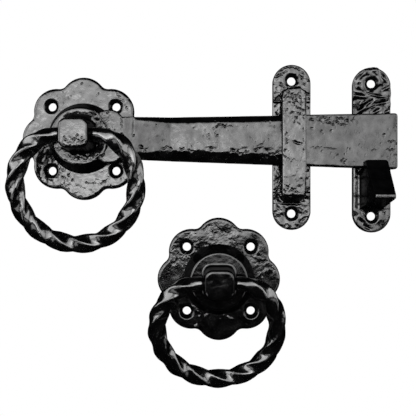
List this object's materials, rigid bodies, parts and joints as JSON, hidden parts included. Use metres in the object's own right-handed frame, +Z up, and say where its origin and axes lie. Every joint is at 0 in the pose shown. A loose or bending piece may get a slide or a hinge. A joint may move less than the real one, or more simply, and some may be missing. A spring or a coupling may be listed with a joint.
{
  "type": "ring gate latch",
  "caption": "Black cast ring gate latch: lobed roses with twisted pull rings, a fall bar that lifts through a staple and drops into a hooked catch, and a square drive spindle.",
  "frame": {"origin": "on the gate face, at the turning axis of the inside handle, the middle of its rose's screw holes", "axes": "+X along the latch bar to its free end, +Z up the gate, -Y out from the gate face"},
  "size_m": [0.2164, 0.128, 0.1841],
  "materials": {
    "black_casting": "hammered casting under gloss black lacquer",
    "black_ring": "twisted bar under gloss black lacquer",
    "plated_steel": "dull bright zinc plate"
  },
  "bodies": {
    "fixed_plates": {"inside_rose": "black_casting", "outside_rose": "black_casting", "staple": "black_casting", "catch": "black_casting"},
    "latch": {"latch_bar": "black_casting", "inside_knob": "black_casting", "inside_washer": "plated_steel"},
    "inside_pull": {"inside_ring": "black_ring"},
    "outside_handle": {"outside_knob": "black_casting", "outside_washer": "plated_steel", "spindle": "plated_steel"},
    "outside_pull": {"outside_ring": "black_ring"}
  },
  "joints": [
    {"name": "latch_lift", "type": "hinge", "parent": "fixed_plates", "child": "latch", "pos_m": [0, 0, 0], "axis": [0, -1, 0], "range_deg": [0, 4.4]},
    {"name": "inside_ring_swing", "type": "hinge", "parent": "latch", "child": "inside_pull", "pos_m": [0, -0.029, 0], "axis": [-1, 0, 0], "range_deg": [-8.5, 214]},
    {"name": "outside_turn", "type": "hinge", "parent": "fixed_plates", "child": "outside_handle", "pos_m": [0.077, 0, -0.08], "axis": [0, -1, 0], "range_deg": [-4.4, 0]},
    {"name": "outside_ring_swing", "type": "hinge", "parent": "outside_handle", "child": "outside_pull", "pos_m": [0.077, -0.029, -0.08], "axis": [-1, 0, 0], "range_deg": [0, 223]}
  ],
  "couplings": [
    {"joint": "outside_turn", "follows": "latch_lift", "ratio": -1}
  ]
}
